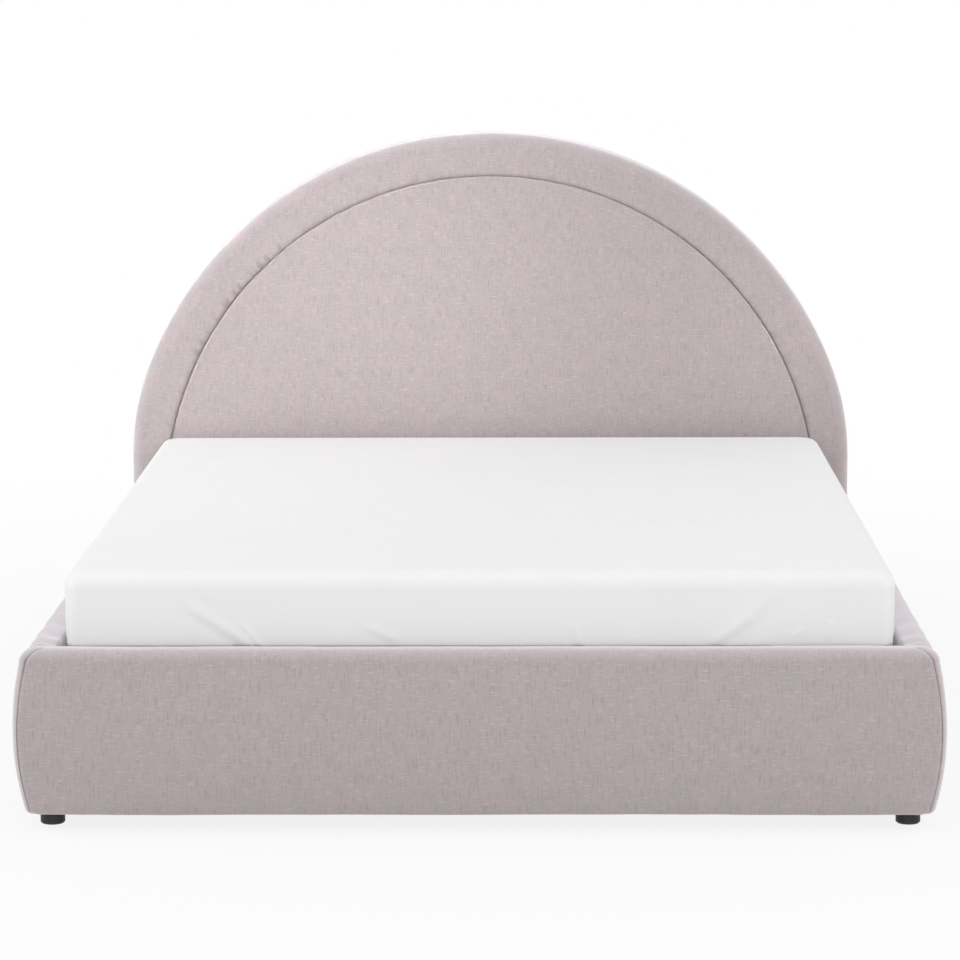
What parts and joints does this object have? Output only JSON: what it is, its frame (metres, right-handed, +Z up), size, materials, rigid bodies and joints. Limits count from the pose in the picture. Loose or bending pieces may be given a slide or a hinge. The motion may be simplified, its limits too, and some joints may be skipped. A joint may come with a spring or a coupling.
{
  "type": "upholstered storage bed",
  "caption": "Upholstered double bed with an arched, border-seamed headboard, bulging rails and a slatted gas-lift platform with its mattress over a storage box.",
  "frame": {"origin": "on the floor, under the middle of the whole outline", "axes": "+X to the right seen from the foot end, +Y towards the headboard, +Z up"},
  "size_m": [1.794, 2.234, 1.2298],
  "materials": {
    "upholstery": "matt woven chenille, pale taupe pink",
    "backing_cloth": "thin pressed felt",
    "board": "bare particle board",
    "hardboard": "smooth pressed fibre",
    "softwood": "planed pine",
    "black_plastic": "moulded, fine grain",
    "zinc_steel": "zinc plated",
    "coated_steel": "black powder coat",
    "strut_paint": "gloss black paint",
    "chromed_rod": "ground and chromed",
    "birch": "laminated birch, film faced",
    "mattress_cloth": "white fitted cotton sheet",
    "webbing": "woven tape",
    "rubber_pad": "matt"
  },
  "bodies": {
    "root": {"headboard_frame": "board", "headboard_centre_pad": "upholstery", "headboard_border_pad": "upholstery", "headboard_back_cloth": "backing_cloth", "side_rail_board_left": "board", "side_rail_board_right": "board", "side_rail_cover_left": "upholstery", "side_rail_cover_right": "upholstery", "floor_ledge_left": "softwood", "floor_ledge_right": "softwood", "foot_front_left": "black_plastic", "foot_front_right": "black_plastic", "foot_rear_left": "black_plastic", "foot_rear_right": "black_plastic", "corner_bracket_front_left": "zinc_steel", "corner_bracket_front_right": "zinc_steel", "corner_bracket_rear_left": "zinc_steel", "corner_bracket_rear_right": "zinc_steel", "hinge_plate_left": "coated_steel", "hinge_plate_right": "coated_steel", "hinge_pin_left": "zinc_steel", "hinge_pin_right": "zinc_steel", "lower_stud_left": "zinc_steel", "lower_stud_right": "zinc_steel", "footboard_board": "board", "footboard_cover": "upholstery", "floor_beam": "softwood", "floor_beam_feet": "black_plastic", "storage_floor_panel_1": "hardboard", "storage_floor_panel_2": "hardboard", "storage_floor_panel_3": "hardboard", "storage_floor_panel_4": "hardboard", "corner_bracket_bolts": "zinc_steel", "hinge_plate_bolts": "zinc_steel", "platform_rest_brackets": "zinc_steel", "platform_rest_pads": "rubber_pad"},
    "platform": {"platform_frame": "coated_steel", "platform_arm_left": "coated_steel", "platform_arm_right": "coated_steel", "platform_arm_bolts": "zinc_steel", "upper_stud_left": "zinc_steel", "upper_stud_right": "zinc_steel", "slats_left": "birch", "slats_right": "birch", "slat_holders_left": "black_plastic", "slat_holders_right": "black_plastic", "slat_holders_centre": "black_plastic", "mattress": "mattress_cloth", "mattress_stops": "coated_steel", "pull_strap": "webbing", "pull_strap_rivets": "zinc_steel"},
    "cylinder_left": {"strut_cylinder_left": "strut_paint", "strut_lower_eye_left": "zinc_steel"},
    "rod_left": {"strut_rod_left": "chromed_rod", "strut_upper_eye_left": "zinc_steel"},
    "cylinder_right": {"strut_cylinder_right": "strut_paint", "strut_lower_eye_right": "zinc_steel"},
    "rod_right": {"strut_rod_right": "chromed_rod", "strut_upper_eye_right": "zinc_steel"}
  },
  "joints": [
    {"name": "platform_lift", "type": "hinge", "parent": "root", "child": "platform", "pos_m": [0, 0.672, 0.322], "axis": [-1, 0, 0], "range_deg": [0, 34]},
    {"name": "cylinder_left_turn", "type": "hinge", "parent": "root", "child": "cylinder_left", "pos_m": [-0.79, 0.732, 0.084], "axis": [-1, 0, 0], "range_deg": [0, 17.5]},
    {"name": "rod_left_turn", "type": "hinge", "parent": "platform", "child": "rod_left", "pos_m": [-0.79, 0.45623, 0.205], "axis": [1, 0, 0], "range_deg": [0, 17.5]},
    {"name": "cylinder_right_turn", "type": "hinge", "parent": "root", "child": "cylinder_right", "pos_m": [0.79, 0.732, 0.084], "axis": [-1, 0, 0], "range_deg": [0, 17.5]},
    {"name": "rod_right_turn", "type": "hinge", "parent": "platform", "child": "rod_right", "pos_m": [0.79, 0.45623, 0.205], "axis": [1, 0, 0], "range_deg": [0, 17.5]}
  ],
  "couplings": [
    {"joint": "cylinder_left_turn", "follows": "platform_lift", "ratio": 0.5},
    {"joint": "rod_left_turn", "follows": "platform_lift", "ratio": 0.5},
    {"joint": "cylinder_right_turn", "follows": "platform_lift", "ratio": 0.5},
    {"joint": "rod_right_turn", "follows": "platform_lift", "ratio": 0.5}
  ]
}
